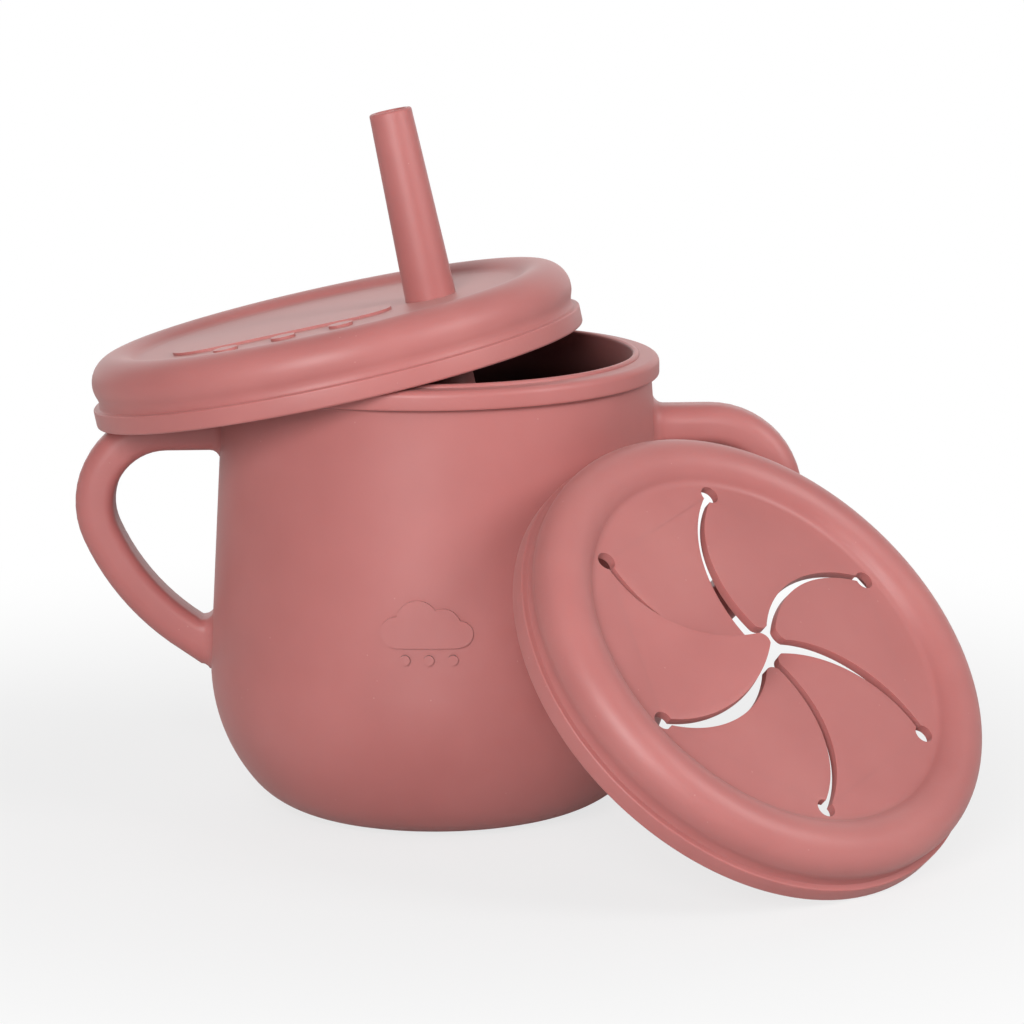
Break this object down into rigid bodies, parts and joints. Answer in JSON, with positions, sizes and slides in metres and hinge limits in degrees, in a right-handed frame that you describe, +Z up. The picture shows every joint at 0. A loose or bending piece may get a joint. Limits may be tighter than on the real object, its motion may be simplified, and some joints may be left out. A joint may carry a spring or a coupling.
{
  "type": "toddler_snack_container",
  "caption": "Toddler snack container in soft silicone with two loop handles, a straw lid set askew on its rim, a straw through that lid and a slit snack lid leaning on the cup",
  "frame": {"origin": "the middle of the cup's flat foot, on the floor that the cup stands on", "axes": "+Z is up, +X runs along the two handles to the right as seen from the front, and the front with the raised cloud faces -Y"},
  "size_m": [0.1599, 0.1366, 0.1267],
  "materials": {
    "rose_silicone": "matte"
  },
  "bodies": {
    "cup": {"cup_body": "rose_silicone", "left_handle": "rose_silicone", "right_handle": "rose_silicone", "cup_emblem": "rose_silicone"},
    "straw_lid": {"straw_lid": "rose_silicone", "lid_emblem": "rose_silicone"},
    "straw": {"straw": "rose_silicone"},
    "snack_lid": {"snack_lid": "rose_silicone"},
    "flap_body_1": {"flap_1": "rose_silicone"},
    "flap_body_2": {"flap_2": "rose_silicone"},
    "flap_body_3": {"flap_3": "rose_silicone"},
    "flap_body_4": {"flap_4": "rose_silicone"},
    "flap_body_5": {"flap_5": "rose_silicone"},
    "flap_body_6": {"flap_6": "rose_silicone"}
  },
  "joints": [
    {"name": "lift_straw_lid", "type": "slide", "parent": "cup", "child": "straw_lid", "axis": [-0.1974, 0.0277, 0.9799], "range_m": [0, 0.11]},
    {"name": "slide_straw", "type": "slide", "parent": "straw_lid", "child": "straw", "axis": [-0.1974, 0.0277, 0.9799], "range_m": [-0.008, 0.07]},
    {"name": "lift_snack_lid", "type": "slide", "parent": "cup", "child": "snack_lid", "axis": [0.498, -0.534, 0.6833], "range_m": [0, 0.06]},
    {"name": "flex_flap_1", "type": "hinge", "parent": "snack_lid", "child": "flap_body_1", "pos_m": [0.07383, -0.06007, 0.01877], "axis": [0.578, 0.7918, 0.1976], "range_deg": [-50, 50], "stiffness_Nm_per_rad": 0.01},
    {"name": "flex_flap_2", "type": "hinge", "parent": "snack_lid", "child": "flap_body_2", "pos_m": [0.07876, -0.03688, 0.0333], "axis": [-0.2709, 0.6527, 0.7075], "range_deg": [-50, 50], "stiffness_Nm_per_rad": 0.01},
    {"name": "flex_flap_3", "type": "hinge", "parent": "snack_lid", "child": "flap_body_3", "pos_m": [0.06079, -0.02864, 0.05284], "axis": [-0.8489, -0.1391, 0.51], "range_deg": [-50, 50], "stiffness_Nm_per_rad": 0.01},
    {"name": "flex_flap_4", "type": "hinge", "parent": "snack_lid", "child": "flap_body_4", "pos_m": [0.03789, -0.04358, 0.05786], "axis": [-0.578, -0.7918, -0.1976], "range_deg": [-50, 50], "stiffness_Nm_per_rad": 0.01},
    {"name": "flex_flap_5", "type": "hinge", "parent": "snack_lid", "child": "flap_body_5", "pos_m": [0.03296, -0.06677, 0.04333], "axis": [0.2709, -0.6527, -0.7075], "range_deg": [-50, 50], "stiffness_Nm_per_rad": 0.01},
    {"name": "flex_flap_6", "type": "hinge", "parent": "snack_lid", "child": "flap_body_6", "pos_m": [0.05093, -0.07501, 0.02379], "axis": [0.8489, 0.1391, -0.51], "range_deg": [-50, 50], "stiffness_Nm_per_rad": 0.01}
  ]
}
